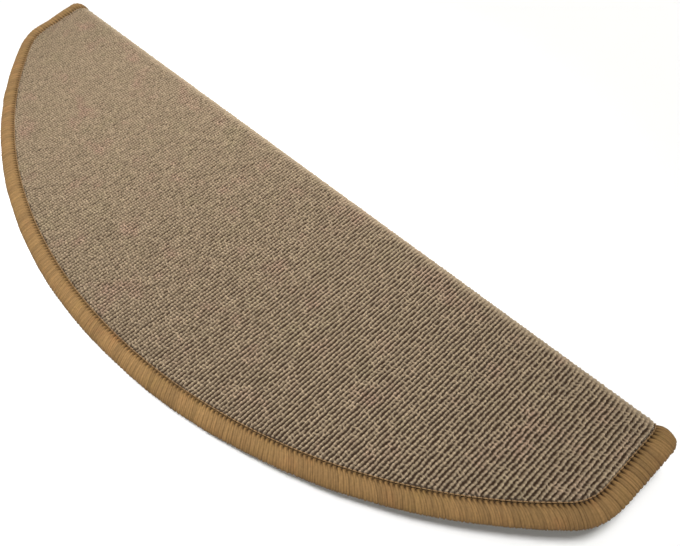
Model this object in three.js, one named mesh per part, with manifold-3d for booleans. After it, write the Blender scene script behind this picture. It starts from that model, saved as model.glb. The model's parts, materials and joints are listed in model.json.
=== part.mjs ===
// Half-moon stair tread mat in ribbed loop-pile carpet, with a bound edge and a fold that hooks over
// the stair's nosing. Millimetres, +Z up, +X to the right, the round front edge toward -Y.
// The mat lies as it does off the stair: on the lower edge of its flap and the tip of its front arc.

import * as THREE from 'three';
import { mergeVertices } from 'three/addons/utils/BufferGeometryUtils.js';
import Module from 'manifold-3d';

const wasm = await Module();
wasm.setup();

// Driving dimensions of the outline. The seam line is where the binding meets the carpet.
const OVERALL_WIDTH = 650; // across the fold, over both bindings
const TREAD_DEPTH = 200; // from the tip of the front arc to the outer face of the flap
const SIDE_SPLAY = THREE.MathUtils.degToRad(6); // the mat narrows toward its front corners
const SIDE_LENGTH = 53; // straight side of the seam line, from the start of the bend to the front corner
const ARC_TURN = THREE.MathUtils.degToRad(52); // how far round its ellipse the front arc runs each way
const CORNER_EASE = 12; // how far the rounding reaches from a front corner along each edge
const FLAP_HEIGHT = 42; // from the top of the tread to the lower edge of the flap
const FLAP_CORNER_RADIUS = 10; // lower corners of the flap, at the seam line
const FOLD_INNER_RADIUS = 4; // inside of the bend, where the stair's nosing sits

// Driving dimensions of the section.
const BACKING_THICKNESS = 2.2;
const PILE_THICKNESS = 4; // from the cloth's underside to the tops of the loops
const LAYER_GAP = 0.3; // clearance between pieces that touch
const ROW_PITCH = 2.54; // from one row of loops to the next
const ROW_RELIEF = 1.3; // depth of the valley between two rows
const ROW_SKEW = THREE.MathUtils.degToRad(4.7); // the rows lean to the left toward the front
const BINDING_WIDTH = 13;
const BINDING_THICKNESS = 8.6;
const BINDING_SHOULDER = 5; // where the binding is thickest, from the seam line
const BINDING_LIP = 0.6; // thickness of the yarn where it dives into the seam
const TUCK_DEPTH = 6.5; // how far the carpet's edge reaches into the binding

// Facets of the round stretches.
const ARC_STEPS = 44;
const CORNER_STEPS = 5;
const FOLD_STEPS = 4;
const FLAP_CORNER_STEPS = 4;
const BINDING_ROUND_STEPS = 3;
const BINDING_SHOULDER_STEPS = 2;

// Values worked out from the dimensions above. Heights are counted from the mat's underside.
const pileBottom = BACKING_THICKNESS + LAYER_GAP;
const matThickness = pileBottom + PILE_THICKNESS;
const foldOuterRadius = FOLD_INNER_RADIUS + matThickness;
const foldLength = (FOLD_INNER_RADIUS * Math.PI) / 2;
const seamHalfWidth = OVERALL_WIDTH / 2 - BINDING_WIDTH;
const arcTip = foldOuterRadius - TREAD_DEPTH + BINDING_WIDTH;
const flapSeam = foldLength + FLAP_HEIGHT - foldOuterRadius - BINDING_WIDTH;

// A point of the unfolded mat becomes a point in space. "across" runs along the fold, "along" from the
// front edge to the fold and on down the flap, with 0 where the bend starts, and "height" is counted
// from the underside.
function fold(across, along, height) {
  if (along <= 0) {
    return new THREE.Vector3(across, along - foldOuterRadius, height);
  }
  const turn = Math.min(along / FOLD_INNER_RADIUS, Math.PI / 2);
  const drop = Math.max(along - foldLength, 0);
  const radius = FOLD_INNER_RADIUS + height;
  return new THREE.Vector3(
    across,
    radius * Math.sin(turn) - foldOuterRadius,
    radius * Math.cos(turn) - FOLD_INNER_RADIUS - drop,
  );
}

// The right half of the seam line on the unfolded mat, from the tip of the arc to the middle of the
// flap's lower edge.
function rightHalfOfSeam() {
  const side = new THREE.Vector2(-Math.sin(SIDE_SPLAY), -Math.cos(SIDE_SPLAY));
  const corner = new THREE.Vector2(seamHalfWidth, 0).addScaledVector(side, SIDE_LENGTH);

  // The ellipse has its tip at the arc's tip and passes through the corner.
  const semiWidth = corner.x / Math.sin(ARC_TURN);
  const semiDepth = (corner.y - arcTip) / (1 - Math.cos(ARC_TURN));
  const arcPoint = (turn) =>
    new THREE.Vector2(semiWidth * Math.sin(turn), arcTip + semiDepth * (1 - Math.cos(turn)));
  const arcSpeed = Math.hypot(semiWidth * Math.cos(ARC_TURN), semiDepth * Math.sin(ARC_TURN));
  const easeTurn = ARC_TURN - CORNER_EASE / arcSpeed;

  const points = [];
  for (let step = 0; step < ARC_STEPS / 2; step += 1) {
    points.push(arcPoint((easeTurn * step) / (ARC_STEPS / 2)));
  }
  const cornerCurve = new THREE.QuadraticBezierCurve(
    arcPoint(easeTurn),
    corner,
    corner.clone().addScaledVector(side, -CORNER_EASE),
  );
  points.push(...cornerCurve.getPoints(CORNER_STEPS));
  for (let step = 0; step <= FOLD_STEPS; step += 1) {
    points.push(new THREE.Vector2(seamHalfWidth, (foldLength * step) / FOLD_STEPS));
  }
  const flapCorner = new THREE.EllipseCurve(
    seamHalfWidth - FLAP_CORNER_RADIUS,
    flapSeam - FLAP_CORNER_RADIUS,
    FLAP_CORNER_RADIUS,
    FLAP_CORNER_RADIUS,
    0,
    Math.PI / 2,
  );
  points.push(...flapCorner.getPoints(FLAP_CORNER_STEPS));
  return points;
}

// The line runs counterclockwise, so its right-hand side is outside.
function outwardOf(start, end) {
  return new THREE.Vector2(end.y - start.y, start.x - end.x).normalize();
}

// The whole seam line, closed, with the direction that points out of the mat at each corner. The
// direction is as long as a parallel line one millimetre further out needs.
function seamLine() {
  const right = rightHalfOfSeam();
  const left = right
    .slice(1)
    .reverse()
    .map((point) => new THREE.Vector2(-point.x, point.y));
  const points = [...right, ...left];
  return points.map((point, index) => {
    const before = points[(index + points.length - 1) % points.length];
    const after = points[(index + 1) % points.length];
    const outOfBefore = outwardOf(before, point);
    const outOfAfter = outwardOf(point, after);
    const out = outOfBefore.clone().add(outOfAfter).divideScalar(1 + outOfBefore.dot(outOfAfter));
    return { point, out };
  });
}

const seam = seamLine();

// A closed body through rings of points, each ring with as many points as the next. A looped body runs
// round to its first ring again, and any other is closed by its end rings.
function loft(rings, looped, capTriangles = []) {
  const count = rings[0].length;
  const positions = rings.flat().flatMap((point) => point.toArray());
  const indices = [];
  const spans = looped ? rings.length : rings.length - 1;
  for (let span = 0; span < spans; span += 1) {
    const here = span * count;
    const next = ((span + 1) % rings.length) * count;
    for (let corner = 0; corner < count; corner += 1) {
      const follower = (corner + 1) % count;
      indices.push(here + corner, next + corner, next + follower);
      indices.push(here + corner, next + follower, here + follower);
    }
  }
  const last = (rings.length - 1) * count;
  for (const [a, b, c] of capTriangles) {
    indices.push(a, b, c);
    indices.push(last + a, last + c, last + b);
  }
  const geometry = new THREE.BufferGeometry();
  geometry.setAttribute('position', new THREE.Float32BufferAttribute(positions, 3));
  geometry.setIndex(indices);
  return geometry;
}

function toSolid(geometry) {
  const bare = geometry.clone();
  bare.deleteAttribute('normal');
  bare.deleteAttribute('uv');
  const merged = mergeVertices(bare, 1e-4);
  return new wasm.Manifold(
    new wasm.Mesh({
      numProp: 3,
      vertProperties: new Float32Array(merged.attributes.position.array),
      triVerts: new Uint32Array(merged.index.array),
    }),
  );
}

function toGeometry(solid) {
  const mesh = solid.getMesh();
  const geometry = new THREE.BufferGeometry();
  geometry.setAttribute('position', new THREE.Float32BufferAttribute(mesh.vertProperties, 3));
  geometry.setIndex(Array.from(mesh.triVerts));
  return geometry;
}

// A sheet that covers the whole mat and more, bent over the fold. Its section is a list of points with x
// along the fold and y as height, and the section slides along the fold by the skew of the rows.
function bentSheet(section, skew) {
  const reach = TUCK_DEPTH + BINDING_WIDTH;
  const stations = [arcTip - reach];
  for (let step = 0; step <= FOLD_STEPS; step += 1) {
    stations.push((foldLength * step) / FOLD_STEPS);
  }
  stations.push(flapSeam + reach);
  const rings = stations.map((along) =>
    section.map((point) => fold(point.x + along * Math.tan(skew), along, point.y)),
  );
  return toSolid(loft(rings, false, THREE.ShapeUtils.triangulateShape(section, [])));
}

// The column over a layer's cut edge on the tread, and the bar through its cut edge on the flap. What
// lies in both is inside the layer. The edge lies outside the seam line by the given distance.
function layerOutline(distance) {
  const cutEdge = (isHere) =>
    seam
      .filter(({ point }) => isHere(point))
      .map(({ point, out }) => point.clone().addScaledVector(out, distance));
  const halfWidth = seamHalfWidth + distance;
  const beyond = TREAD_DEPTH;

  const column = new THREE.Shape([
    ...cutEdge((point) => point.y <= 0 && point.x < 0),
    ...cutEdge((point) => point.y <= 0 && point.x >= 0),
    new THREE.Vector2(halfWidth, beyond),
    new THREE.Vector2(-halfWidth, beyond),
  ]);
  const columnGeometry = new THREE.ExtrudeGeometry(column, { depth: 2 * beyond, bevelEnabled: false });
  columnGeometry.translate(0, -foldOuterRadius, -beyond);

  const bar = new THREE.Shape([
    new THREE.Vector2(halfWidth, -beyond),
    ...cutEdge((point) => point.y >= foldLength),
    new THREE.Vector2(-halfWidth, -beyond),
  ]);
  const barGeometry = new THREE.ExtrudeGeometry(bar, { depth: 3 * beyond, bevelEnabled: false });
  barGeometry.rotateX(-Math.PI / 2);
  barGeometry.translate(0, -2 * beyond, foldLength - FOLD_INNER_RADIUS);
  return toSolid(columnGeometry).intersect(toSolid(barGeometry));
}

const sheetHalfWidth = OVERALL_WIDTH / 2 + TREAD_DEPTH * Math.tan(ROW_SKEW);

// The section of the backing is a plain strip.
function backingSection() {
  return [
    new THREE.Vector2(-sheetHalfWidth, 0),
    new THREE.Vector2(sheetHalfWidth, 0),
    new THREE.Vector2(sheetHalfWidth, BACKING_THICKNESS),
    new THREE.Vector2(-sheetHalfWidth, BACKING_THICKNESS),
  ];
}

// The section of the pile is flat below and has one ridge for each row of loops above.
function pileSection() {
  const rowsPerSide = Math.ceil(sheetHalfWidth / ROW_PITCH);
  const points = [
    new THREE.Vector2(-rowsPerSide * ROW_PITCH, pileBottom),
    new THREE.Vector2(rowsPerSide * ROW_PITCH, pileBottom),
  ];
  for (let row = rowsPerSide; row > -rowsPerSide; row -= 1) {
    points.push(new THREE.Vector2(row * ROW_PITCH, matThickness));
    points.push(new THREE.Vector2((row - 0.5) * ROW_PITCH, matThickness - ROW_RELIEF));
  }
  points.push(new THREE.Vector2(-rowsPerSide * ROW_PITCH, matThickness));
  return points;
}

// The binding is wound round the carpet's edge, so its section is a bead with a slot for the pile and the
// cloth that it is tufted into. x is counted outward from the seam line and y is the height.
function bindingSection() {
  const crown = BINDING_THICKNESS / 2;
  const lip = matThickness / 2 + LAYER_GAP + BINDING_LIP;
  const round = new THREE.EllipseCurve(
    BINDING_SHOULDER,
    0,
    BINDING_WIDTH - BINDING_SHOULDER,
    crown,
    0,
    Math.PI / 2,
  );
  const shoulder = new THREE.QuadraticBezierCurve(
    new THREE.Vector2(BINDING_SHOULDER, crown),
    new THREE.Vector2(BINDING_SHOULDER / 2, crown),
    new THREE.Vector2(0, lip),
  );
  const upperHalf = [
    ...round.getPoints(BINDING_ROUND_STEPS),
    ...shoulder.getPoints(BINDING_SHOULDER_STEPS).slice(1),
  ];
  const lowerHalf = upperHalf
    .slice(1)
    .reverse()
    .map((point) => new THREE.Vector2(point.x, -point.y));
  const middle = new THREE.Vector2(0, matThickness / 2);
  const bead = [...lowerHalf, ...upperHalf].map((point) => point.add(middle));
  const slotTop = matThickness + LAYER_GAP;
  const slotBottom = pileBottom - LAYER_GAP;
  const slotDepth = TUCK_DEPTH + LAYER_GAP;
  return [
    ...bead,
    new THREE.Vector2(0, slotTop),
    new THREE.Vector2(slotDepth, slotTop),
    new THREE.Vector2(slotDepth, slotBottom),
    new THREE.Vector2(0, slotBottom),
  ];
}

// The backing ends just inside the seam line, and the pile runs on into the binding.
function backing() {
  const solid = bentSheet(backingSection(), 0).intersect(layerOutline(-LAYER_GAP));
  const material = new THREE.MeshStandardMaterial({ color: 0x4a4743, roughness: 0.85, metalness: 0 });
  const mesh = new THREE.Mesh(toGeometry(solid), material);
  mesh.name = 'anti_slip_backing';
  return mesh;
}

function pile() {
  const solid = bentSheet(pileSection(), ROW_SKEW).intersect(layerOutline(TUCK_DEPTH));
  const material = new THREE.MeshStandardMaterial({ color: 0xa5937b, roughness: 0.95, metalness: 0 });
  const mesh = new THREE.Mesh(toGeometry(solid), material);
  mesh.name = 'loop_pile';
  return mesh;
}

function binding() {
  const section = bindingSection();
  const rings = seam.map(({ point, out }) =>
    section.map(({ x, y }) => fold(point.x + out.x * x, point.y + out.y * x, y)),
  );
  const material = new THREE.MeshStandardMaterial({ color: 0xa58255, roughness: 0.8, metalness: 0 });
  const mesh = new THREE.Mesh(loft(rings, true), material);
  mesh.name = 'edge_binding';
  return mesh;
}

// The tilt at which the front edge and the flap's lower edge come to the same height, found by halving.
function restingTilt(geometry) {
  const { position } = geometry.attributes;
  const lowest = (tilt, isFront) => {
    let height = Infinity;
    for (let index = 0; index < position.count; index += 1) {
      const y = position.getY(index);
      if (y < -TREAD_DEPTH / 2 === isFront) {
        height = Math.min(height, y * Math.sin(tilt) + position.getZ(index) * Math.cos(tilt));
      }
    }
    return height;
  };
  let low = 0;
  let high = Math.PI / 2;
  for (let pass = 0; pass < 50; pass += 1) {
    const middle = (low + high) / 2;
    if (lowest(middle, true) > lowest(middle, false)) {
      low = middle;
    } else {
      high = middle;
    }
  }
  return (low + high) / 2;
}

const edge = binding();
const mat = new THREE.Group();
mat.add(backing(), pile(), edge);
mat.rotation.x = restingTilt(edge.geometry);

// The mat stands on the ground plane, with the origin under the middle of its box.
const box = new THREE.Box3().setFromObject(mat, true);
const middle = box.getCenter(new THREE.Vector3());
mat.position.set(-middle.x, -middle.y, -box.min.z);

const stairTreadMat = new THREE.Group();
stairTreadMat.add(mat);

export default stairTreadMat;
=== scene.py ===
# %% [markdown]
# A half-moon stair tread mat. It is cut from ribbed loop-pile carpet, its edge is bound with tan yarn, and
# its straight edge is folded down to hook over the front of a stair. Off the stair it lies on the lower
# edge of that flap and on the tip of its round front, so the tread slopes a little.
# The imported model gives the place, the slope and the overall size of every piece.

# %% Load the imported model
import json
import math

import bpy
import numpy as np
from mathutils import Matrix, Vector


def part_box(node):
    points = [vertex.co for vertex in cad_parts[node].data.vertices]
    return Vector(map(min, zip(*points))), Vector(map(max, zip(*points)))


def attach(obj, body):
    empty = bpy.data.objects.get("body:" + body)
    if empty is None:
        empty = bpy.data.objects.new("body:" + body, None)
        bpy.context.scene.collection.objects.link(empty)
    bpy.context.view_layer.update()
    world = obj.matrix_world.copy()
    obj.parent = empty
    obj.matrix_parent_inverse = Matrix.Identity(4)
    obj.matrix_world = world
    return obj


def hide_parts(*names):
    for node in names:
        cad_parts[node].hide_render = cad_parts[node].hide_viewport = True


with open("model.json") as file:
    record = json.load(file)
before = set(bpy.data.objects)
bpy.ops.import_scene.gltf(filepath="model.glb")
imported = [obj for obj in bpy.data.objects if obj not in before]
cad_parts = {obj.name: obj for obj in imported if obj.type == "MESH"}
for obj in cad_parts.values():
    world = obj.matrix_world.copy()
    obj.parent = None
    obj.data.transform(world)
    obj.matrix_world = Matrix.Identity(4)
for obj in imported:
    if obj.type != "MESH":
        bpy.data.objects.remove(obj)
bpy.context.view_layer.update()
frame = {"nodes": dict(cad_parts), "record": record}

print("packed nodes:", sorted(frame["nodes"]))

# %% [markdown]
# ## Sizes
# The widths and thicknesses are the same named values as in the solid model, in metres, so that both
# describe one mat. Only the binding is a little narrower and thinner here, as it looks in the picture. The
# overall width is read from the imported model.

# %% Sizes of the mat
MM = 0.001
TREAD_DEPTH = 200 * MM
SIDE_SPLAY = math.radians(6)
SIDE_LENGTH = 53 * MM
ARC_TURN = math.radians(52)
CORNER_EASE = 12 * MM
FLAP_HEIGHT = 42 * MM
FLAP_CORNER_RADIUS = 10 * MM
FOLD_INNER_RADIUS = 4 * MM
BACKING_THICKNESS = 2.2 * MM
MAT_THICKNESS = 6.5 * MM
ROW_PITCH = 2.54 * MM
ROW_SKEW = math.radians(4.7)
BINDING_WIDTH = 12.2 * MM
BINDING_THICKNESS = 8.2 * MM
BINDING_SHOULDER = 5 * MM

binding_low, binding_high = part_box("edge_binding")
OVERALL_WIDTH = binding_high[0] - binding_low[0]
FOLD_OUTER_RADIUS = FOLD_INNER_RADIUS + MAT_THICKNESS
FOLD_LENGTH = FOLD_INNER_RADIUS * math.pi / 2
SEAM_HALF_WIDTH = OVERALL_WIDTH / 2 - BINDING_WIDTH
ARC_TIP = FOLD_OUTER_RADIUS - TREAD_DEPTH + BINDING_WIDTH
FLAP_SEAM = FOLD_LENGTH + FLAP_HEIGHT - FOLD_OUTER_RADIUS - BINDING_WIDTH
print("overall width, mm:", round(OVERALL_WIDTH / MM, 1))

# %% [markdown]
# The slope and the place of the mat come from its two mounts. One lies on the underside of the tread, the
# other on the inner face of the flap, so their axes give the mat's own directions.

# %% Directions of the mat
mounts = {mount["name"]: mount for mount in frame["record"]["mounts"]}
MAT_UP = -np.array(mounts["tread_underside"]["axis"])
MAT_BACK = -np.array(mounts["nosing_face"]["axis"])
MAT_RIGHT = np.cross(MAT_BACK, MAT_UP)
MAT_ORIGIN = (
    MAT_UP * np.dot(mounts["tread_underside"]["pos_m"], MAT_UP)
    + MAT_BACK * (np.dot(mounts["nosing_face"]["pos_m"], MAT_BACK) + MAT_THICKNESS)
)
print("slope of the tread, degrees:", round(math.degrees(math.asin(MAT_BACK[2])), 2))

# %% [markdown]
# ## From the flat cut to the folded mat
# Every piece is worked out on the flat cut, where "across" runs along the fold, "along" runs from the round
# front to the flap, and "height" is counted from the underside. One function then bends the flat cut
# over the fold and lays it on the slope. Bending numbers with a formula keeps the rows, the yarn and the
# stitches in register, which a bend modifier on each piece would not.


# %% Fold the flat cut
def folded(across, along, height):
    """Points in space for points of the flat cut, all given as arrays."""
    turn = np.clip(along / FOLD_INNER_RADIUS, 0, math.pi / 2)
    radius = FOLD_INNER_RADIUS + height
    back = radius * np.sin(turn) - FOLD_OUTER_RADIUS + np.minimum(along, 0)
    up = radius * np.cos(turn) - FOLD_INNER_RADIUS - np.maximum(along - FOLD_LENGTH, 0)
    return (
        MAT_ORIGIN
        + across[..., None] * MAT_RIGHT
        + back[..., None] * MAT_BACK
        + up[..., None] * MAT_UP
    )


print("top of the fold, mm:", folded(np.zeros(1), np.zeros(1), np.full(1, MAT_THICKNESS)) / MM)

# %% [markdown]
# ## The seam line
# The seam line is where the binding meets the carpet. It starts at the tip of the round front, follows an
# ellipse to the front corner, turns up the splayed side, passes over the fold and closes along the lower
# edge of the flap. A curve object could draw it, but the rows and the stitches have to ask it for distances
# and directions, which is easier with its points in an array.

# %% Draw the seam line
ARC_POINTS = 400
EASE_POINTS = 40
FLAP_CORNER_POINTS = 30


def right_half_of_seam():
    """Points of the right half, from the tip of the front to the flap's lower edge."""
    side = np.array([-math.sin(SIDE_SPLAY), -math.cos(SIDE_SPLAY)])
    corner = np.array([SEAM_HALF_WIDTH, 0]) + side * SIDE_LENGTH
    semi_width = corner[0] / math.sin(ARC_TURN)
    semi_depth = (corner[1] - ARC_TIP) / (1 - math.cos(ARC_TURN))

    def arc(turn):
        return np.stack([semi_width * np.sin(turn), ARC_TIP + semi_depth * (1 - np.cos(turn))], axis=-1)

    arc_speed = math.hypot(semi_width * math.cos(ARC_TURN), semi_depth * math.sin(ARC_TURN))
    ease_turn = ARC_TURN - CORNER_EASE / arc_speed
    start = arc(ease_turn)
    end = corner - side * CORNER_EASE
    share = np.linspace(0, 1, EASE_POINTS)[:, None]
    eased = (1 - share) ** 2 * start + 2 * share * (1 - share) * corner + share**2 * end
    turn = np.linspace(0, math.pi / 2, FLAP_CORNER_POINTS)[:, None]
    centre = np.array([SEAM_HALF_WIDTH, FLAP_SEAM]) - FLAP_CORNER_RADIUS
    flap_corner = centre + FLAP_CORNER_RADIUS * np.hstack([np.cos(turn), np.sin(turn)])
    front = arc(np.linspace(0, ease_turn, ARC_POINTS))
    return np.vstack([front, eased[1:], [[SEAM_HALF_WIDTH, 0]], flap_corner])


right_seam = right_half_of_seam()
print("tip of the front, mm:", np.round(right_seam[0] / MM, 1))

# %% [markdown]
# The line is closed by its mirror image and walked at even steps. At each step the direction out of the mat
# is square to the line through the points a little before and a little after.

# %% Walk round the seam
SEAM_SPACING = 0.25 * MM
DIRECTION_REACH = 4


def closed_seam():
    """The closed seam line at an even spacing, with its outward direction."""
    points = np.vstack([right_seam, right_seam[:0:-1] * [-1, 1], right_seam[:1]])
    length = np.concatenate([[0], np.cumsum(np.linalg.norm(np.diff(points, axis=0), axis=1))])
    even = np.linspace(0, length[-1], int(length[-1] / SEAM_SPACING) + 1)[:-1]
    line = np.stack([np.interp(even, length, points[:, axis]) for axis in (0, 1)], axis=-1)
    run = np.roll(line, -DIRECTION_REACH, axis=0) - np.roll(line, DIRECTION_REACH, axis=0)
    out = np.stack([run[:, 1], -run[:, 0]], axis=-1)
    return line, out / np.linalg.norm(out, axis=1)[:, None]


SEAM_LINE, SEAM_OUT = closed_seam()
print("points round the seam:", len(SEAM_LINE))

# %% [markdown]
# The yarn is laid evenly along the top of the binding, so lengths along the seam are measured there. That
# matters at the fold, where the top of the binding is longer than its underside.

# %% Measure along the seam
crest = SEAM_LINE + SEAM_OUT * BINDING_SHOULDER
crest_points = folded(crest[:, 0], crest[:, 1], np.full(len(crest), MAT_THICKNESS))
steps = np.linalg.norm(np.roll(crest_points, -1, axis=0) - crest_points, axis=1)
SEAM_RUN = np.concatenate([[0], np.cumsum(steps)])
SEAM_LENGTH = SEAM_RUN[-1]
print("length round the seam, mm:", round(SEAM_LENGTH / MM, 1))


def seam_at(run):
    """The point and outward direction at a length along the seam, which may run past its end."""
    where = np.mod(run, SEAM_LENGTH)

    def follow(values):
        return np.interp(where, SEAM_RUN, np.append(values, values[0]))

    point = np.stack([follow(SEAM_LINE[:, 0]), follow(SEAM_LINE[:, 1])], axis=-1)
    out = np.stack([follow(SEAM_OUT[:, 0]), follow(SEAM_OUT[:, 1])], axis=-1)
    return point, out / np.linalg.norm(out, axis=-1, keepdims=True)


# %% [markdown]
# ## Helpers for meshes
# No two loops of a real carpet are quite alike, but their neighbours are similar. A smooth random line gives
# that: it is a row of random numbers with eased steps between them, and the same seed always gives the same
# line.


# %% Smooth random lines
def smooth_random(seed, lines, position):
    """A smooth random value from -1 to 1 at each position of each numbered line."""
    position = np.asarray(position, dtype=float)
    first = np.floor(position)
    ease = position - first
    ease = ease * ease * (3 - 2 * ease)
    low = int(first.min())
    span = int(first.max()) - low + 2
    lines = np.asarray(lines)
    values = np.random.default_rng(seed).uniform(-1, 1, (int(lines.max()) + 1, span))
    index = first.astype(int) - low
    return values[lines, index] * (1 - ease) + values[lines, index + 1] * ease


print("a smooth line:", np.round(smooth_random(1, 0, np.linspace(0, 2, 5)), 2))

# %% [markdown]
# Thousands of loops and wraps are placed as grids of points, because adding them one at a time would be
# slow. A large grid is cut into several meshes. Each would be shaded as if it ended at the cut, and the cut
# would show as a light line, so the directions of the surface are worked out before cutting.


# %% Grids of faces
def grid_faces(columns, rows, closed_columns=False, closed_rows=False):
    """Faces between neighbours of a grid of points numbered column by column."""
    column = np.arange(columns if closed_columns else columns - 1)[:, None]
    row = np.arange(rows if closed_rows else rows - 1)[None, :]
    next_column = (column + 1) % columns
    next_row = (row + 1) % rows
    corners = [
        column * rows + row,
        next_column * rows + row,
        next_column * rows + next_row,
        column * rows + next_row,
    ]
    return np.stack(np.broadcast_arrays(*corners), axis=-1).reshape(-1, 4)


def smooth_normals(points, faces):
    """The direction of a surface at each of its points, the mean of all the faces that meet there."""
    one_way = points[faces[:, 2]] - points[faces[:, 0]]
    other_way = points[faces[:, 3]] - points[faces[:, 1]]
    face_normals = np.repeat(np.cross(one_way, other_way), 4, axis=0)
    corners = faces.ravel()
    sums = np.stack(
        [np.bincount(corners, face_normals[:, axis], minlength=len(points)) for axis in range(3)], axis=-1
    )
    return sums / np.maximum(np.linalg.norm(sums, axis=1), 1e-20)[:, None]


print("faces of a grid of 3 by 3 points:", len(grid_faces(3, 3)))

# %% [markdown]
# Each mesh also carries a few values per point for its material to read, such as how much painted shade a
# point gets between the rows. Every piece rides on the mat's one body and takes the place of its plain
# solid.


# %% Make a piece
def make_piece(name, points, faces, values, material, cad_node, normals=None):
    """A smooth mesh from points and four-cornered faces. A corner that repeats is dropped."""
    repeats = faces == np.roll(faces, 1, axis=1)
    sides = 4 - repeats.sum(axis=1)
    whole = sides > 2
    corners = faces[whole][~repeats[whole]]
    sides = sides[whole]
    used, corners = np.unique(corners, return_inverse=True)
    mesh = bpy.data.meshes.new(name)
    mesh.vertices.add(len(used))
    mesh.vertices.foreach_set("co", points[used].astype(np.float32).ravel())
    mesh.loops.add(len(corners))
    mesh.loops.foreach_set("vertex_index", corners.astype(np.int32).ravel())
    mesh.polygons.add(len(sides))
    starts = np.concatenate([[0], np.cumsum(sides)[:-1]])
    mesh.polygons.foreach_set("loop_start", starts.astype(np.int32))
    mesh.polygons.foreach_set("use_smooth", np.ones(len(sides), dtype=bool))
    for value_name, data in values.items():
        kind = "FLOAT_VECTOR" if data.ndim > 1 else "FLOAT"
        field = "vector" if data.ndim > 1 else "value"
        layer = mesh.attributes.new(value_name, kind, "POINT")
        layer.data.foreach_set(field, data[used].astype(np.float32).ravel())
    mesh.update(calc_edges=True)
    mesh.validate()
    if normals is not None:
        mesh.normals_split_custom_set_from_vertices(normals[used])
    mesh.materials.append(material)
    piece = bpy.data.objects.new(name, mesh)
    bpy.context.scene.collection.objects.link(piece)
    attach(piece, "root")
    if cad_node:
        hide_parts(cad_node)
    print(f"{name}: {len(used)} points, {int((sides - 2).sum())} triangles")


# %% [markdown]
# ## Helpers for materials
# A material is a small graph of nodes. These helpers add a node with its settings and connect it, so that
# each material below reads from top to bottom.


# %% Node helpers
def add_node(tree, kind, inputs=None, **settings):
    """A node of a kind, with settings, and with each input set to a value or fed by a socket."""
    node = tree.nodes.new(kind)
    for key, value in settings.items():
        setattr(node, key, value)
    for key, value in (inputs or {}).items():
        if isinstance(value, bpy.types.NodeSocket):
            tree.links.new(value, node.inputs[key])
        else:
            node.inputs[key].default_value = value
    return node


def srgb(red, green, blue):
    """A colour given as it shows on a screen, from 0 to 255, as linear values with full alpha."""
    shares = np.array([red, green, blue]) / 255
    linear = np.where(shares <= 0.04045, shares / 12.92, ((shares + 0.055) / 1.055) ** 2.4)
    return (*linear, 1.0)


def new_material(name):
    """A material with its output and a Principled shader."""
    material = bpy.data.materials.new(name)
    material.use_nodes = True
    tree = material.node_tree
    tree.nodes.clear()
    shader = add_node(tree, "ShaderNodeBsdfPrincipled")
    add_node(tree, "ShaderNodeOutputMaterial", {"Surface": shader.outputs[0]})
    return material, tree, shader


print("a mid grey on the screen, as light:", round(srgb(128, 128, 128)[0], 3))

# %% [markdown]
# A few steps come back in most materials: a noise, a value stretched to another range, a mix of two colours,
# a colour made lighter or darker, and a bump.


# %% Steps that come back
def noise(tree, place, scale, roughness=0.5, detail=2.0):
    """A noise from 0 to 1 at a place."""
    inputs = {"Vector": place, "Scale": scale, "Detail": detail, "Roughness": roughness}
    return add_node(tree, "ShaderNodeTexNoise", inputs).outputs["Fac"]


def stretch(tree, value, start, end, low, high, clamp=True):
    """A value that goes from low to high while another goes from start to end."""
    inputs = {"Value": value, "From Min": start, "From Max": end, "To Min": low, "To Max": high}
    return add_node(tree, "ShaderNodeMapRange", inputs, clamp=clamp).outputs[0]


def mix(tree, share, first, second):
    """A colour between two, the first at share 0 and the second at share 1."""
    return add_node(tree, "ShaderNodeMix", {0: share, 6: first, 7: second}, data_type="RGBA").outputs[2]


def scaled(tree, colour, level):
    """A colour times a level."""
    return add_node(tree, "ShaderNodeVectorMath", {0: colour, 3: level}, operation="SCALE").outputs[0]


def bump(tree, height, strength, distance):
    """The direction of a surface with small bumps."""
    inputs = {"Height": height, "Strength": strength, "Distance": distance}
    return add_node(tree, "ShaderNodeBump", inputs).outputs[0]


def object_place(tree):
    """The place of a point in the object's own space."""
    return add_node(tree, "ShaderNodeTexCoord").outputs["Object"]


print("steps ready: noise, stretch, mix, scaled, bump, object_place")

# %% [markdown]
# ## Yarn effects shared by the materials
# All three yarns are spun from many fine fibres in slightly different shades. Two effects are shared, each a
# group of nodes that the pile, the binding and the thread use with values of their own. The first is the
# heather look: soft patches of warmer and cooler colour, with fine flecks over them.


# %% Heather yarn
def make_group(name, inputs, outputs):
    """An empty node group with named inputs and outputs."""
    group = bpy.data.node_groups.new(name, "ShaderNodeTree")
    for socket_name, kind, value in inputs:
        socket = group.interface.new_socket(name=socket_name, in_out="INPUT", socket_type=kind)
        if value is not None:
            socket.default_value = value
    for socket_name, kind in outputs:
        group.interface.new_socket(name=socket_name, in_out="OUTPUT", socket_type=kind)
    return group, group.nodes.new("NodeGroupInput").outputs, group.nodes.new("NodeGroupOutput").inputs


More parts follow.
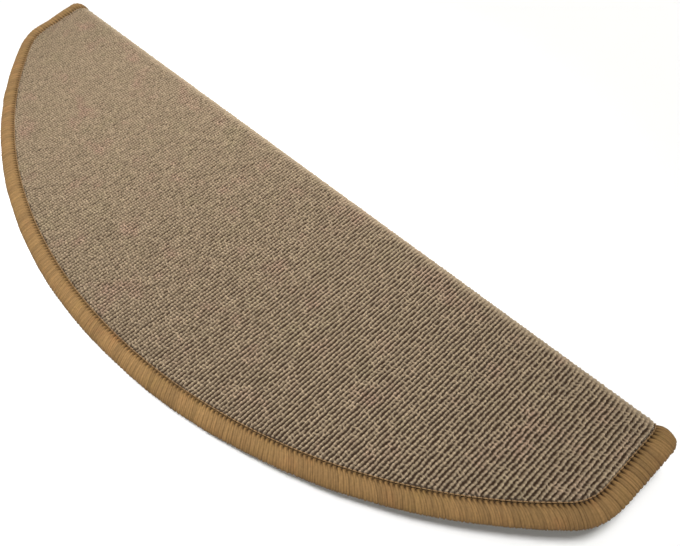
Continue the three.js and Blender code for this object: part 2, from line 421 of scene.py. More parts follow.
def make_heather_group():
    """Patches of warmer and cooler shade over a base colour, plus fine flecks."""
    group, given, result = make_group(
        "heather_yarn",
        [
            ("Colour", "NodeSocketColor", (0.5, 0.5, 0.5, 1)),
            ("Warm", "NodeSocketColor", (0.6, 0.5, 0.4, 1)),
            ("Cool", "NodeSocketColor", (0.5, 0.5, 0.4, 1)),
            ("Patch Scale", "NodeSocketFloat", 60.0),
            ("Fleck Scale", "NodeSocketFloat", 900.0),
            ("Fleck Strength", "NodeSocketFloat", 0.3),
        ],
        [("Colour", "NodeSocketColor")],
    )
    place = object_place(group)
    patches = noise(group, place, given["Patch Scale"], roughness=0.6, detail=3.0)
    warm_share = stretch(group, patches, 0.56, 0.74, 0.0, 0.8)
    cool_share = stretch(group, patches, 0.46, 0.26, 0.0, 0.8)
    warmed = mix(group, warm_share, given["Colour"], given["Warm"])
    cooled = mix(group, cool_share, warmed, given["Cool"])
    flecks = noise(group, place, given["Fleck Scale"], roughness=0.7)
    fleck_level = stretch(group, flecks, 0.3, 0.7, 0.55, 1.35, clamp=False)
    flecked = mix(group, given["Fleck Strength"], cooled, scaled(group, cooled, fleck_level))
    group.links.new(flecked, result["Colour"])
    return group


HEATHER = make_heather_group()
print("shared effect:", HEATHER.name)

# %% [markdown]
# The second effect is the fine lines of the fibres. It gives only a level, which each material turns into
# small bumps.


# %% Yarn fibres
def make_fibre_group():
    """Fine fibre lines that run along the yarn, as a level from 0 to 1."""
    group, given, result = make_group(
        "yarn_fibres",
        [
            ("Along Yarn", "NodeSocketVector", None),
            ("Fineness", "NodeSocketFloat", 4.0),
        ],
        [("Level", "NodeSocketFloat")],
    )
    fibres = noise(group, given["Along Yarn"], given["Fineness"], roughness=0.6)
    group.links.new(fibres, result["Level"])
    return group


FIBRES = make_fibre_group()
print("shared effect:", FIBRES.name)

# %% [markdown]
# Both kinds of yarn start the same way: the heather colour, made lighter or darker by the tint that each
# loop or strand carries.


# %% Tinted yarn
def tinted_yarn(tree, shades, patch_scale, fleck_scale, fleck_strength, tint_reach):
    """The heather colour times the tint of the loop or strand."""
    light, warm, cool = shades
    heather = add_node(
        tree,
        "ShaderNodeGroup",
        {
            "Colour": light,
            "Warm": warm,
            "Cool": cool,
            "Patch Scale": patch_scale,
            "Fleck Scale": fleck_scale,
            "Fleck Strength": fleck_strength,
        },
        node_tree=HEATHER,
    )
    tint = add_node(tree, "ShaderNodeAttribute", attribute_name="tint").outputs["Fac"]
    level = stretch(tree, tint, -1.0, 1.0, 1 - tint_reach, 1 + tint_reach)
    return scaled(tree, heather.outputs["Colour"], level)


def fibre_level(tree, along_yarn, fineness):
    """The level of the fibres at a place along the yarn."""
    inputs = {"Along Yarn": along_yarn, "Fineness": fineness}
    return add_node(tree, "ShaderNodeGroup", inputs, node_tree=FIBRES).outputs["Level"]


print("values that the yarn reads: depth, tint, yarn_place")

# %% [markdown]
# ## Ribbed loop pile
# The carpet is tufted in straight rows of yarn loops that stand side by side like small arches. From above
# a row looks like a chain of beads with a narrow dark gap on either side. The rows were not quite square
# to the fold when the mat was cut, so they lean a little. Every loop is real geometry here: a row has a
# crest, two shoulders and a shared valley, and each loop gets its own height, lean and width. To end the
# rows at the seam, each point has to know how far inside the seam it lies.

# %% Distance from the seam
below_fold = right_seam[: np.argmax(right_seam[:, 1] >= 0) + 1]
above_fold = right_seam[len(below_fold) :][::-1]


def inside_seam(across, along):
    """How far a point of the flat cut lies inside the seam line, negative outside it."""
    side = np.abs(across)
    low = np.interp(side, below_fold[:, 0], below_fold[:, 1])
    slope = np.interp(side, below_fold[:, 0], np.gradient(below_fold[:, 1], below_fold[:, 0]))
    high = np.interp(side, above_fold[:, 0], above_fold[:, 1])
    front = (along - low) / np.sqrt(1 + slope**2)
    centre = np.array([SEAM_HALF_WIDTH, FLAP_SEAM]) - FLAP_CORNER_RADIUS
    reach = np.hypot(np.maximum(side - centre[0], 0), np.maximum(along - centre[1], 0))
    back = np.where(reach > 0, FLAP_CORNER_RADIUS - reach, high - along)
    return np.minimum(np.minimum(front, back), SEAM_HALF_WIDTH - side)


print("the middle of the tread lies inside, mm:", round(float(inside_seam(0.0, ARC_TIP / 2)) / MM, 1))

# %% [markdown]
# The yarn of the pile is a matt tan. Between the rows it gets painted shade, a darker colour where
# little light comes, and each loop is a touch lighter or darker than the next. Soft pinkish and greenish
# patches run through it. An image could give all that, but values kept on the points stay in step with the
# loops. A soft sheen stands for the fibre ends, which catch the light where the pile is seen at a low angle.

# %% Pile yarn
PILE_SHADES = (srgb(174, 154, 127), srgb(185, 152, 131), srgb(170, 154, 123))
# The colour below is painted shade for the gaps between the rows and the needle holes.
PILE_PAINTED_SHADE = srgb(40, 21, 6)


def make_pile_yarn():
    """The matt yarn of the loops, with painted shade where the painted light value is low."""
    material, tree, shader = new_material("tan_loop_yarn")
    loops = tinted_yarn(
        tree, PILE_SHADES, patch_scale=45.0, fleck_scale=900.0, fleck_strength=0.4, tint_reach=0.16
    )
    # The painted light value on the points mixes in the painted shade: 0 gives the gap colour, 1 the yarn.
    painted_light = add_node(tree, "ShaderNodeAttribute", attribute_name="painted_light").outputs["Fac"]
    lit = stretch(tree, painted_light, 0.4, 0.93, 0.0, 1.0)
    colour = mix(tree, lit, PILE_PAINTED_SHADE, loops)
    fibres = fibre_level(tree, object_place(tree), fineness=1800.0)
    surface = bump(tree, fibres, strength=0.6, distance=0.4 * MM)
    tree.links.new(colour, shader.inputs["Base Color"])
    tree.links.new(surface, shader.inputs["Normal"])
    shader.inputs["Roughness"].default_value = 0.95
    shader.inputs["Specular IOR Level"].default_value = 0.15
    shader.inputs["Sheen Weight"].default_value = 0.6
    shader.inputs["Sheen Roughness"].default_value = 0.6
    shader.inputs["Sheen Tint"].default_value = (1.0, 0.82, 0.6, 1.0)
    return material


pile_yarn = make_pile_yarn()
print("pile yarn:", pile_yarn.name)

# %% [markdown]
# The loops are laid out as one grid: four columns of points to a row and four points to a loop. Over the
# fold the points are spread by the outer length, so the loops keep their size there. Each row starts at
# another point of a loop, as no two needles of the machine drop together.

# %% Grid of the rows
LOOP_LENGTH = 2.1 * MM
POINTS_PER_LOOP = 4
EDGE_MARGIN = 2 * MM

random = np.random.default_rng(11)
skew = math.tan(ROW_SKEW)
outer_fold = FOLD_OUTER_RADIUS * math.pi / 2


def along_from_outer(length):
    """The place on the flat cut for a length measured on the outside, counted from the start of the fold."""
    in_fold = np.clip(length, 0, outer_fold) * FOLD_LENGTH / outer_fold
    return np.minimum(length, 0) + in_fold + np.maximum(length - outer_fold, 0)


first_length = ARC_TIP - EDGE_MARGIN
last_length = FLAP_SEAM + EDGE_MARGIN + outer_fold - FOLD_LENGTH
step = LOOP_LENGTH / POINTS_PER_LOOP
samples = int((last_length - first_length) / step) + 1
rows_each_side = int((SEAM_HALF_WIDTH + abs(first_length) * skew) / ROW_PITCH) + 2
row_count = 2 * rows_each_side + 1
row_number = np.arange(row_count)[:, None]
sample_number = np.arange(samples)[None, :]
row_grid = np.broadcast_to(row_number, (row_count, samples))
start = random.integers(0, POINTS_PER_LOOP, row_count)[:, None]
loop = (sample_number + start) // POINTS_PER_LOOP
part = (sample_number + start) % POINTS_PER_LOOP
print("rows:", row_count, "points along a row:", samples)

# %% [markdown]
# Each loop gets its own lean, height, width and shade. A slower drift and sway move whole stretches of a
# row, which takes away the look of a machine-made grid. The waist between two loops is lower and narrower
# than the top of a loop.

# %% Shape of the loops
LOOP_DIP = 0.55 * MM
LOOP_LEAN = 0.26 * MM
LOOP_RISE = 0.24 * MM
ROW_DRIFT = 1.0 * MM
DRIFT_SPACING = 9 * MM
ROW_SWAY = 0.2 * MM
SWAY_SPACING = 3.2 * MM
WAIST_SHARE = 0.08
SWELL_SHARE = 0.09


def per_loop(low, high):
    """One random value for each loop, spread to the points of the loop."""
    return random.uniform(low, high, (row_count, samples // POINTS_PER_LOOP + 2))[row_number, loop]


arch = np.choose(part, [0.0, 0.7, 1.0, 0.7])
length = first_length + sample_number * step
length = length + ROW_DRIFT * smooth_random(21, row_grid, length / DRIFT_SPACING)
sway = ROW_SWAY * smooth_random(22, row_grid, length / SWAY_SPACING)
lean = per_loop(-LOOP_LEAN, LOOP_LEAN) + sway
rise = per_loop(-LOOP_RISE, LOOP_RISE)
loop_width = (WAIST_SHARE + SWELL_SHARE * arch) * ROW_PITCH * per_loop(0.55, 1.15)
loop_tint = per_loop(-1, 1)
crest_height = MAT_THICKNESS + rise - LOOP_DIP * (1 - arch)
print("half width of a loop, mm:", np.round(np.quantile(loop_width, [0.05, 0.95]) / MM, 2))

# %% [markdown]
# Here and there a loop leans over and touches the next row. The valley is lifted there and painted lighter,
# which breaks the painted shade of the gap between the rows into dashes. The painted light value is 0 in a
# dark gap and 1 on top of a loop.

# %% Valleys and crests
VALLEY_DEPTH = 2.8 * MM
SHOULDER_DROP = 0.25 * MM
WAIST_LIGHT = 0.76
SHOULDER_LIGHT = 0.88
GAP_LIGHT_RANGE = (-0.2, 0.35)
TOUCH_RANGE = (-1.6, 1.2)
TOUCH_LIFT = 0.7
TOUCH_LIGHT = 0.8

pile_across = np.empty((row_count, 4, samples))
pile_length = np.empty_like(pile_across)
pile_height = np.empty_like(pile_across)
pile_painted_light = np.empty_like(pile_across)
pile_tint = np.empty_like(pile_across)

before = np.roll(np.arange(row_count), 1)
touch = np.clip(per_loop(*TOUCH_RANGE), 0, 1) * np.choose(part, [0.0, 0.3, 1.0, 0.3])
pile_length[:, 0] = (length + length[before]) / 2
pile_across[:, 0] = (row_number - rows_each_side - 0.5) * ROW_PITCH + (lean + lean[before]) / 2
pile_height[:, 0] = MAT_THICKNESS - VALLEY_DEPTH * (1 - TOUCH_LIFT * touch)
# The valley gets painted shade, painted lighter where a loop touches across and at random.
pile_painted_light[:, 0] = np.maximum(TOUCH_LIGHT * touch, per_loop(*GAP_LIGHT_RANGE))
pile_tint[:, 0] = loop_tint * touch
# The waists between the loops and the shoulders of a row get a little painted shade.
for column, side in ((1, -1), (2, 0), (3, 1)):
    pile_length[:, column] = length
    pile_across[:, column] = (row_number - rows_each_side) * ROW_PITCH + lean + side * loop_width
    pile_height[:, column] = crest_height - abs(side) * SHOULDER_DROP
    pile_painted_light[:, column] = WAIST_LIGHT + (1 - WAIST_LIGHT) * arch
    pile_tint[:, column] = loop_tint
pile_painted_light[:, [1, 3]] *= SHOULDER_LIGHT
print("share of the gaps that is bridged:", round(float((touch > 0.3).mean()), 2))

# %% [markdown]
# Bent outward over the fold, the loops fan out and the cloth would show between them as a row of teeth, so
# the valleys are shallow there and get less painted shade. Near the binding the stitches press the pile down
# and tuck its edge into the groove, which gets painted shade.

# %% Fold and seam
SILHOUETTE_DEPTH = 0.5 * MM
FOLD_VALLEY_LIGHT = 0.6
PRESSED_HEIGHT = 5.6 * MM
PRESSED_START = 0.4 * MM
PRESSED_REACH = 1.5 * MM
TUCK_START = 1.1 * MM
TUCK_REACH = 1.0 * MM
TUCK_DROP = 2 * MM
DARK_REACH = 0.8 * MM

over_fold = np.clip(pile_length[:, 0] / outer_fold * 3 - 0.2, 0, 1)
valley = pile_height[:, 0]
valley += (MAT_THICKNESS - SILHOUETTE_DEPTH - valley) * over_fold
pile_painted_light[:, 0] += (FOLD_VALLEY_LIGHT - pile_painted_light[:, 0]) * over_fold
pile_along = along_from_outer(pile_length)
pile_across += pile_along * skew
edge = inside_seam(pile_across, pile_along)
# Painted shade in the groove beside the binding.
pile_painted_light *= np.clip((edge + 0.1 * MM) / DARK_REACH, 0.15, 1)
free = np.clip((edge - PRESSED_START) / PRESSED_REACH, 0, 1)
free = free * free * (3 - 2 * free)
tucked = np.clip((TUCK_START - edge) / TUCK_REACH, 0, 1)
pressed = PRESSED_HEIGHT - TUCK_DROP * tucked + (pile_height - MAT_THICKNESS) * 0.3
pile_height = pressed * (1 - free) + pile_height * free
print("pile height, mm:", np.round(np.quantile(pile_height, [0, 1]) / MM, 2))

# %% [markdown]
# The needle leaves a small hole for each stitch on the pile side of the seam. The pile is lowered there and
# gets painted shade, as the hole lies in shade. The holes on the yarn side are made the same way with the
# binding.

# %% Needle holes in the pile
STITCH_LENGTH = 3.0 * MM
PILE_HOLE_RADIUS = 0.6 * MM
PILE_HOLE_PLACE = 1.5 * MM
PILE_HOLE_DEPTH = 1.6 * MM
BESIDE_HOLES = 1.6 * MM
POINTS_AT_ONCE = 4000

stitch_count = int(SEAM_LENGTH / STITCH_LENGTH)
stitch_run = (np.arange(stitch_count) + 0.5) * SEAM_LENGTH / stitch_count


def near_hole(across, along):
    """How close points are to the nearest needle hole, 1 at its centre and 0 beyond its rim."""
    hole, outward = seam_at(stitch_run)
    hole = hole - outward * PILE_HOLE_PLACE
    closeness = np.zeros(len(across))
    for begin in range(0, len(across), POINTS_AT_ONCE):
        some = slice(begin, begin + POINTS_AT_ONCE)
        nearest = np.hypot(across[some, None] - hole[:, 0], along[some, None] - hole[:, 1]).min(axis=1)
        closeness[some] = np.clip(1.4 - nearest / PILE_HOLE_RADIUS, 0, 1)
    return closeness


by_seam = np.abs(edge - PILE_HOLE_PLACE) < BESIDE_HOLES
closeness = near_hole(pile_across[by_seam], pile_along[by_seam])
pile_height[by_seam] -= PILE_HOLE_DEPTH * closeness
# Painted shade in the needle holes.
pile_painted_light[by_seam] *= 1 - closeness
print("stitches:", stitch_count, "pile points by the seam:", int(by_seam.sum()))

# %% [markdown]
# The grid is bent over the fold and cut into five meshes, to keep each one light enough to work with. Faces
# that lie wholly under the binding are left out.

# %% Pile meshes
PILE_SECTIONS = 5
HIDDEN_REACH = 1.5 * MM

columns = row_count * 4
flat = (columns, samples)
pile_grid = folded(pile_across.reshape(flat), pile_along.reshape(flat), pile_height.reshape(flat))
pile_points = pile_grid.reshape(-1, 3)
pile_values = {"painted_light": pile_painted_light.reshape(-1), "tint": pile_tint.reshape(-1)}
pile_faces = grid_faces(columns, samples)
pile_faces = pile_faces[(edge.reshape(-1)[pile_faces] > -HIDDEN_REACH).any(axis=1)]
pile_normals = smooth_normals(pile_points, pile_faces)
face_row = pile_faces[:, 0] // samples // 4
for section in range(PILE_SECTIONS):
    first_row = section * row_count // PILE_SECTIONS
    last_row = (section + 1) * row_count // PILE_SECTIONS
    make_piece(
        f"loop_rows_{section + 1}",
        pile_points,
        pile_faces[(face_row >= first_row) & (face_row < last_row)],
        pile_values,
        pile_yarn,
        "loop_pile",
        pile_normals,
    )

# %% [markdown]
# ## Yarn binding
# The raw edge is wrapped in yarn by an overedge machine: strand beside strand goes over the edge and back
# below it. The wraps are one closed tube, because single strands in such number would be slow and would
# leave gaps. First comes the section of the tube: up out of the groove, round over the edge and back into
# the groove below.

# %% Binding section
SECTION_POINTS = 20
GROOVE_HEIGHT = 5.1 * MM
UNDER_GROOVE_HEIGHT = 0.6 * MM
GROOVE_PLACE = -0.3 * MM
SHOULDER_BEND = 1.9 * MM
FIRST_POINTS = [0, 0.7 * MM]
EVEN_START = 1.6 * MM
ROUND_POINTS = 60
SHOULDER_POINTS = 20


def binding_section():
    """Distance out from the seam and height, from the upper groove over the edge to the lower groove."""
    crown = BINDING_THICKNESS / 2
    middle = MAT_THICKNESS / 2
    reach = BINDING_WIDTH - BINDING_SHOULDER
    turn = np.linspace(math.pi / 2, -math.pi / 2, ROUND_POINTS)
    round_edge = np.stack([BINDING_SHOULDER + reach * np.cos(turn), middle + crown * np.sin(turn)], axis=-1)
    share = np.linspace(0, 1, SHOULDER_POINTS)[:, None]

    def shoulder(height, top):
        begin = np.array([GROOVE_PLACE, height])
        bend = np.array([SHOULDER_BEND, top])
        end = np.array([BINDING_SHOULDER, top])
        return (1 - share) ** 2 * begin + 2 * share * (1 - share) * bend + share**2 * end

    upper = shoulder(GROOVE_HEIGHT, middle + crown)
    lower = shoulder(UNDER_GROOVE_HEIGHT, middle - crown)[::-1]
    line = np.vstack([upper, round_edge[1:-1], lower])
    length = np.concatenate([[0], np.cumsum(np.linalg.norm(np.diff(line, axis=0), axis=1))])
    rest = np.linspace(EVEN_START, length[-1], SECTION_POINTS - len(FIRST_POINTS))
    places = np.concatenate([FIRST_POINTS, rest])
    points = np.stack([np.interp(places, length, line[:, axis]) for axis in (0, 1)], axis=-1)
    run = np.gradient(points, places, axis=0)
    out = np.stack([-run[:, 1], run[:, 0]], axis=-1)
    return points, out / np.linalg.norm(out, axis=1)[:, None], places


section_points, section_out, section_run = binding_section()
print("yarn for one wrap, mm:", round(section_run[-1] / MM, 1))

# %% [markdown]
# The binding yarn is a warmer tan, smoother than the pile. It gets painted shade toward the lines between
# strands and nearly black painted shade in the needle holes. The sewing thread is made of the same kind of
# yarn in another shade.

# %% Binding yarn
BINDING_SHADES = (srgb(142, 110, 68), srgb(145, 107, 66), srgb(138, 109, 64))
# The colour below is painted shade for the lines between strands and the needle holes.
BINDING_PAINTED_SHADE = srgb(46, 28, 10)


def make_binding_yarn(name, shades, gap):
    """A smooth yarn, which takes the painted shade colour where the painted light value is low."""
    material, tree, shader = new_material(name)
    strands = tinted_yarn(
        tree, shades, patch_scale=60.0, fleck_scale=700.0, fleck_strength=0.3, tint_reach=0.18
    )
    painted_light = add_node(tree, "ShaderNodeAttribute", attribute_name="painted_light").outputs["Fac"]
    yarn_place = add_node(tree, "ShaderNodeAttribute", attribute_name="yarn_place").outputs["Vector"]
    surface = bump(tree, fibre_level(tree, yarn_place, fineness=1.0), strength=0.5, distance=0.3 * MM)
    tree.links.new(mix(tree, painted_light, gap, strands), shader.inputs["Base Color"])
    tree.links.new(surface, shader.inputs["Normal"])
    shader.inputs["Roughness"].default_value = 0.75
    shader.inputs["Specular IOR Level"].default_value = 0.25
    return material


binding_yarn = make_binding_yarn("tan_binding_yarn", BINDING_SHADES, BINDING_PAINTED_SHADE)
print("binding yarn:", binding_yarn.name)

# %% [markdown]
# Every stitch lays down a bundle of two strands, from one needle hole to the next. Each strand has three
# columns of points, one low in the gap and two on its back. The gap between two bundles is mostly wider
# than the gap inside one. Each strand has its own height and shade.

# %% Where the strands lie
EDGE_SHIFT = 0.3 * MM

strand_count = 2 * stitch_count
stitch_pitch = SEAM_LENGTH / stitch_count
edges = (np.arange(strand_count + 1) / 2 + 0.5) * stitch_pitch
edges[1::2] += random.uniform(-EDGE_SHIFT, EDGE_SHIFT, stitch_count)
centres = (edges[1:] + edges[:-1]) / 2
quarter = np.diff(edges) / 4
strand_run = np.stack([edges[:-1], centres - quarter, centres + quarter], axis=-1).reshape(-1)
strand_high = np.tile([0.0, 1.0, 1.0], strand_count)
bundle_gap = random.uniform(0.1, 1.0, strand_count)
inner_gap = 0.6 * random.uniform(0, 1, strand_count) ** 2
gap_size = np.where(np.arange(strand_count) % 2 == 0, bundle_gap, inner_gap)
strand_gap = (np.tile([1.0, 0.0, 0.0], strand_count) * np.repeat(gap_size, 3))[:, None]
strand_level = np.repeat(random.uniform(-0.6, 0.6, strand_count), 3) * strand_high
bundle_tint = np.repeat(random.uniform(-0.6, 0.6, stitch_count), 6)
strand_tint = bundle_tint + np.repeat(random.uniform(-0.6, 0.6, strand_count), 3)
print("strands:", strand_count, "width of a stitch, mm:", round(stitch_pitch / MM, 2))

# %% [markdown]
# On the round front the strands slant, on the sides they run nearly straight out. The slant comes from
# sliding the strands along the seam as they go over the edge, less and less toward the underside.

# %% Slant of the strands
FRONT_SLANT = math.tan(math.radians(26))
SIDE_SLANT = math.tan(math.radians(4))
SLIDE_REACH = 11 * MM
FRONT_START = -58 * MM
FRONT_BLEND = 12 * MM
WOBBLE = 0.12
WOBBLE_SPACING = 9 * MM

strand_point = seam_at(strand_run)[0]
is_front = np.clip((FRONT_START - strand_point[:, 1]) / FRONT_BLEND, 0, 1)
slant = SIDE_SLANT + (FRONT_SLANT - SIDE_SLANT) * is_front * is_front * (3 - 2 * is_front)
one_line = np.zeros((1, 1), dtype=int)
wobble = smooth_random(31, one_line, strand_run[:, None] / WOBBLE_SPACING) * WOBBLE
slide = SLIDE_REACH * np.tanh(section_run / SLIDE_REACH)
run = strand_run[:, None] + (slant[:, None] + wobble) * slide[None, :]
point, outward = seam_at(run)
print("share of the strands on the round front:", round(float(is_front.mean()), 2))

# %% [markdown]
# The surface of the tube is then pushed out on the strands and bundles and in at the gaps. A slow lump
# keeps the bead from looking like a pipe. In the needle holes it is pulled in and later gets painted shade,
# which leaves short dark teeth along the seam.

# %% Relief of the strands
BUNDLE_RELIEF = 0.17 * MM
STRAND_RELIEF = 0.17 * MM
GAP_RELIEF = 0.4 * MM
LUMP_HEIGHT = 0.3 * MM
LUMP_SPACING = 16 * MM
HOLE_RADIUS = 0.65 * MM
HOLE_DEPTH = 0.9 * MM
HOLE_STRENGTHS = [1, 1, 0.75, 0.2]

fade = np.sin(np.linspace(0, math.pi, SECTION_POINTS)) ** 0.5
bundle_arch = np.sin(math.pi * np.mod(strand_run / stitch_pitch + 0.5, 1)) - 0.6
relief = STRAND_RELIEF * (strand_high + strand_level - 0.8)[:, None] - GAP_RELIEF * strand_gap * fade
relief = relief + BUNDLE_RELIEF * bundle_arch[:, None] * fade
lump = smooth_random(32, one_line, run / LUMP_SPACING) * LUMP_HEIGHT
hole_phase = np.abs(np.mod(run / stitch_pitch, 1) - 0.5) * STITCH_LENGTH
hole_strength = np.full(SECTION_POINTS, HOLE_STRENGTHS[-1])
hole_strength[: len(HOLE_STRENGTHS)] = HOLE_STRENGTHS
hole_fade = np.clip(1.5 - hole_phase / HOLE_RADIUS, 0, 1) * hole_strength
bulge = relief + lump * fade - HOLE_DEPTH * hole_fade
distance = section_points[None, :, 0] + section_out[None, :, 0] * bulge
height = section_points[None, :, 1] + section_out[None, :, 1] * bulge
binding_grid = folded(
    point[..., 0] + outward[..., 0] * distance,
    point[..., 1] + outward[..., 1] * distance,
    height,
)
binding_points = binding_grid.reshape(-1, 3)
print("relief of the bead, mm:", np.round(np.quantile(bulge, [0.05, 0.95]) / MM, 2))

# %% [markdown]
# The fibres of the binding run along the strands, so each point carries a place in the yarn: across the
# strand, along it, and which strand it is. The noise changes fast across the yarn and slowly along it,
# which draws it out into fibres. The tube is cut into three meshes.

# %% Binding meshes
BINDING_SECTIONS = 3
FIBRES_ACROSS = 3.0
FIBRES_PER_MM = 0.35
STRAND_SHIFT = 7.3
STRAND_STEP = 1.7

strand_index = np.arange(len(strand_run)) // 3
place_across = np.tile([0.0, 0.33, 0.67], strand_count) + strand_index * STRAND_SHIFT
yarn_place = np.broadcast_arrays(
    place_across[:, None] * FIBRES_ACROSS,
    section_run[None, :] / MM * FIBRES_PER_MM,
    strand_index[:, None] * STRAND_STEP,
)
# Painted shade in the gaps between strands and in the needle holes, painted light on the strands' backs.
light = np.clip(0.8 - 0.45 * strand_gap + 0.2 * strand_high[:, None], 0, 1)
binding_values = {
    "painted_light": (light * (1 - 0.95 * hole_fade)).reshape(-1),
    "tint": np.repeat(strand_tint, SECTION_POINTS),
    "yarn_place": np.stack(yarn_place, axis=-1).reshape(-1, 3),
}
binding_faces = grid_faces(len(strand_run), SECTION_POINTS, closed_columns=True, closed_rows=True)
binding_normals = smooth_normals(binding_points, binding_faces)
face_section = binding_faces[:, 0] // SECTION_POINTS // 3 * BINDING_SECTIONS // strand_count
for section in range(BINDING_SECTIONS):
    make_piece(
        f"binding_wraps_{section + 1}",
        binding_points,
        binding_faces[face_section == section],
        binding_values,
        binding_yarn,
        "edge_binding",
        binding_normals,
    )

# %% [markdown]
# ## Seam thread
# A thin sewing thread runs in the groove between the pile and the binding. It dives through the mat every
# three millimetres, so it shows as a line of short stitches, above and below. A curve with a round bevel
# could be drawn for it. A grid of points is used again, because it follows the seam by the same formula as
# the holes and the strands.

# %% Stitches
STITCH_POINTS = 6
THREAD_RADIUS = 0.33 * MM
THREAD_SIDES = 6
THREAD_PLACE = -0.8 * MM
THREAD_DIVE = 1.3 * MM
UPPER_THREAD = GROOVE_HEIGHT + 0.3 * MM
LOWER_THREAD = 0.1 * MM
THREAD_SHADES = (srgb(150, 120, 84), srgb(152, 118, 84), srgb(144, 116, 80))

# The last colour is painted shade, for each stitch where it dives into the mat.
thread = make_binding_yarn("tan_seam_thread", THREAD_SHADES, srgb(70, 46, 22))
thread_stations = stitch_count * STITCH_POINTS
station = np.arange(thread_stations)
thread_run = station * SEAM_LENGTH / thread_stations
stitch_arch = np.abs(np.cos(math.pi * (station % STITCH_POINTS) / STITCH_POINTS)) ** 0.7
point, outward = seam_at(thread_run)
turn = np.linspace(0, 2 * math.pi, THREAD_SIDES, endpoint=False)[None, :]
distance = THREAD_PLACE + THREAD_RADIUS * np.cos(turn)
thread_faces = grid_faces(thread_stations, THREAD_SIDES, closed_columns=True, closed_rows=True)
for name, level, side in (("upper_stitches", UPPER_THREAD, 1), ("lower_stitches", LOWER_THREAD, -1)):
    height = level + side * (stitch_arch - 0.7)[:, None] * THREAD_DIVE + THREAD_RADIUS * np.sin(turn)
    across = point[:, :1] + outward[:, :1] * distance
    along = point[:, 1:] + outward[:, 1:] * distance
    values = {
        "painted_light": np.repeat(np.clip(stitch_arch * 1.6, 0, 1), THREAD_SIDES),
        "tint": np.repeat(random.uniform(-0.5, 0.5, stitch_count), STITCH_POINTS * THREAD_SIDES),
        "yarn_place": np.repeat(np.stack([thread_run / MM] * 3, axis=-1), THREAD_SIDES, axis=0),
    }
    thread_points = folded(across, along, height).reshape(-1, 3)
    make_piece(name, thread_points, thread_faces, values, thread, None)

# %% [markdown]
# ## Anti-slip backing
# The underside is a thin layer of soft grey rubber, glued on to grip the stair. Nothing of it shows from
# above, so it is kept plain: smooth, matt and very finely grained.

# %% Backing rubber
DARK_RUBBER = srgb(66, 63, 59)
LIGHT_RUBBER = srgb(86, 82, 77)


def make_backing_rubber():
    """Dark grey rubber with a fine grain."""
    material, tree, shader = new_material("grey_backing_rubber")
    grain = noise(tree, object_place(tree), scale=900.0)
    surface = bump(tree, grain, strength=0.4, distance=0.3 * MM)
    tree.links.new(mix(tree, grain, DARK_RUBBER, LIGHT_RUBBER), shader.inputs["Base Color"])
    tree.links.new(surface, shader.inputs["Normal"])
    shader.inputs["Roughness"].default_value = 0.85
    return material


backing_rubber = make_backing_rubber()
print("backing rubber:", backing_rubber.name)

# %% [markdown]
# The backing has the same outline as the seam and bends with the mat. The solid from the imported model
# could be kept for it, but its fold has few faces and would look faceted. Here its lower and upper sides
# are one closed grid. A few of the seam's many points are enough for it, with more of them over the fold.

# %% Backing
BACKING_COLUMNS = 40
FOLD_POINTS = 7
ARC_SKIP = 6
CORNER_SKIP = 3
TIP_HALF_WIDTH = 1 * MM

spread = np.linspace(-1, 1, BACKING_COLUMNS)[None, :]
fold_places = np.linspace(0, FOLD_LENGTH, FOLD_POINTS)
fold_side = np.stack([np.full(FOLD_POINTS, SEAM_HALF_WIDTH), fold_places], axis=-1)
flap_side = right_seam[len(below_fold) :: CORNER_SKIP]
edge_points = np.vstack([below_fold[:-2:ARC_SKIP], fold_side, flap_side, right_seam[-1:]])
edge_points[0, 0] = TIP_HALF_WIDTH
half_width = edge_points[:, :1]
side_along = np.repeat(edge_points[:, 1:], BACKING_COLUMNS, axis=1)
both_across = np.hstack([half_width * spread, half_width * spread[:, ::-1]])
both_along = np.hstack([side_along, side_along])
both_height = np.hstack([np.zeros_like(side_along), np.full_like(side_along, BACKING_THICKNESS)])
backing_points = folded(both_across, both_along, both_height).reshape(-1, 3)
backing_faces = grid_faces(len(edge_points), 2 * BACKING_COLUMNS, closed_rows=True)
make_piece(
    "rubber_backing", backing_points, backing_faces, {}, backing_rubber, "anti_slip_backing"
)

# %% [markdown]
# ## Floor, light and camera
# The mat lies on white, so the floor is a white plane that shows only its shadow. Seen by the camera it is
# white. For the light that it throws back at the mat it is grey, so that the underside of the bead stays as
# dark as in the picture.

# %% Floor
FLOOR_HALF_WIDTH = 3
FLOOR_GLOW = 0.015
FLOOR_BOUNCE = (0.3, 0.3, 0.3, 1)
WHITE = (1, 1, 1, 1)


def seen_plainly(tree):
    """1 for rays from the camera, a mirror or a clear thing, and 0 for rays that light something."""
    ray = add_node(tree, "ShaderNodeLightPath").outputs
    direct = {0: ray["Is Camera Ray"], 1: ray["Is Glossy Ray"]}
    mirrored = add_node(tree, "ShaderNodeMath", direct, operation="MAXIMUM").outputs[0]
    through = {0: mirrored, 1: ray["Is Transmission Ray"]}
    return add_node(tree, "ShaderNodeMath", through, operation="MAXIMUM").outputs[0]


reach = FLOOR_HALF_WIDTH
floor_mesh = bpy.data.meshes.new("floor")
floor_corners = [(-reach, -reach, 0), (reach, -reach, 0), (reach, reach, 0), (-reach, reach, 0)]
floor_mesh.from_pydata(floor_corners, [], [(0, 1, 2, 3)])
floor = bpy.data.objects.new("floor", floor_mesh)
bpy.context.scene.collection.objects.link(floor)

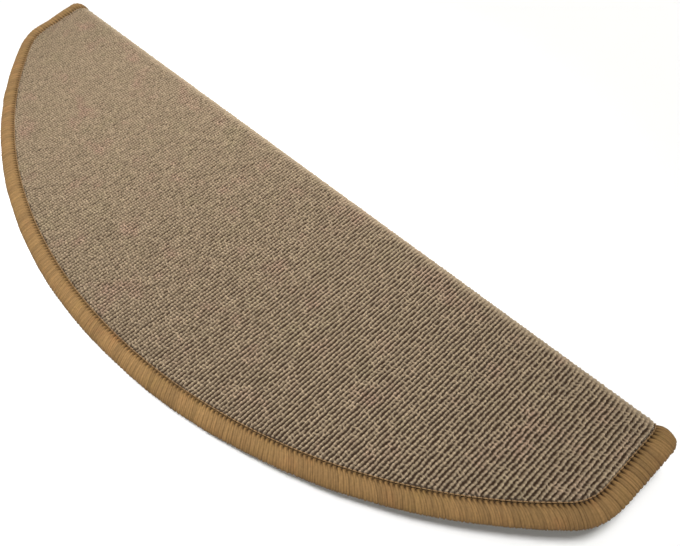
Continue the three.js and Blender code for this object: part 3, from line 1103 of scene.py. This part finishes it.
floor_material, floor_tree, floor_shader = new_material("white_floor")
seen = seen_plainly(floor_tree)
floor_colour = mix(floor_tree, seen, FLOOR_BOUNCE, WHITE)
glow = add_node(floor_tree, "ShaderNodeMath", {0: seen, 1: FLOOR_GLOW}, operation="MULTIPLY").outputs[0]
floor_tree.links.new(floor_colour, floor_shader.inputs["Base Color"])
floor_tree.links.new(glow, floor_shader.inputs["Emission Strength"])
floor_shader.inputs["Emission Color"].default_value = WHITE
floor_shader.inputs["Roughness"].default_value = 1.0
floor_shader.inputs["Specular IOR Level"].default_value = 0.0
floor_mesh.materials.append(floor_material)
print("floor reaches to, m:", FLOOR_HALF_WIDTH)

# %% [markdown]
# The room gives a weak warm light from every side. Behind the mat it is plain white. One colour can't be
# both, so the room looks at the kind of ray, as the floor does.

# %% Room
ROOM_LIGHT = (0.1, 0.095, 0.075, 1)

world = bpy.data.worlds.new("room")
bpy.context.scene.world = world
world.use_nodes = True
world_tree = world.node_tree
world_tree.nodes.clear()
room_colour = mix(world_tree, seen_plainly(world_tree), ROOM_LIGHT, WHITE)
room = add_node(world_tree, "ShaderNodeBackground", {"Color": room_colour, "Strength": 1.0})
add_node(world_tree, "ShaderNodeOutputWorld", {"Surface": room.outputs[0]})
print("room:", world.name)

# %% [markdown]
# Three lamps light the mat. A soft one stands high on the left and a little to the front, and gives the
# shadow on the right. A weak one comes low from the right and the front, and lights the side of the bead
# there. A wide spot over the middle makes the middle and the left of the tread lighter than its right
# end, as in the picture.


# %% Lamps
def add_lamp(name, kind, strength, along=(0, 0, -1), place=(0, 0, 0), **settings):
    """A lamp that shines along a direction."""
    data = bpy.data.lights.new(name, kind)
    data.energy = strength
    for key, value in settings.items():
        setattr(data, key, value)
    lamp = bpy.data.objects.new(name, data)
    lamp.location = place
    lamp.rotation_euler = Vector(along).to_track_quat("-Z", "Y").to_euler()
    bpy.context.scene.collection.objects.link(lamp)
    return lamp


soft_lamp = add_lamp("soft_lamp", "SUN", strength=2.55, along=(0.24, 0.13, -1), angle=math.radians(12))
fill_lamp = add_lamp("fill_lamp", "SUN", strength=0.6, along=(-0.8, 0.35, -0.6), angle=math.radians(40))
middle_lamp = add_lamp(
    "middle_lamp",
    "SPOT",
    strength=19.5,
    place=(-0.06, 0.05, 0.8),
    spot_size=math.radians(56),
    spot_blend=1.0,
    shadow_soft_size=0.1,
)
print("lamps:", soft_lamp.name, fill_lamp.name, middle_lamp.name)

# %% [markdown]
# ## Camera
# The camera looks down at the right half of the mat from the front right and is turned a little about its
# own view, as in the picture. The place and the lens come from matching the outline and the rows.

# %% Camera
SENSOR_WIDTH = 36
LENS = 25.182
CAMERA_PLACE = Vector((235.197, -106.652, 293.413)) * MM
CAMERA_TARGET = Vector((107.194, 48.578, 20.0)) * MM
CAMERA_ROLL = math.radians(5.637)

camera_data = bpy.data.cameras.new("camera")
camera_data.sensor_width = SENSOR_WIDTH
camera_data.lens = LENS
camera_data.clip_start = 10 * MM
camera = bpy.data.objects.new("camera", camera_data)
forward = (CAMERA_TARGET - CAMERA_PLACE).normalized()
level_right = forward.cross(Vector((0, 0, 1))).normalized()
level_up = level_right.cross(forward)
right = math.cos(CAMERA_ROLL) * level_right + math.sin(CAMERA_ROLL) * level_up
up = math.cos(CAMERA_ROLL) * level_up - math.sin(CAMERA_ROLL) * level_right
turned = Matrix((right, up, -forward)).transposed().to_4x4()
camera.matrix_world = Matrix.Translation(CAMERA_PLACE) @ turned
bpy.context.scene.collection.objects.link(camera)
bpy.context.scene.camera = camera
bpy.context.scene.view_settings.view_transform = "Standard"
print("camera stands, mm:", [round(value / MM, 1) for value in CAMERA_PLACE])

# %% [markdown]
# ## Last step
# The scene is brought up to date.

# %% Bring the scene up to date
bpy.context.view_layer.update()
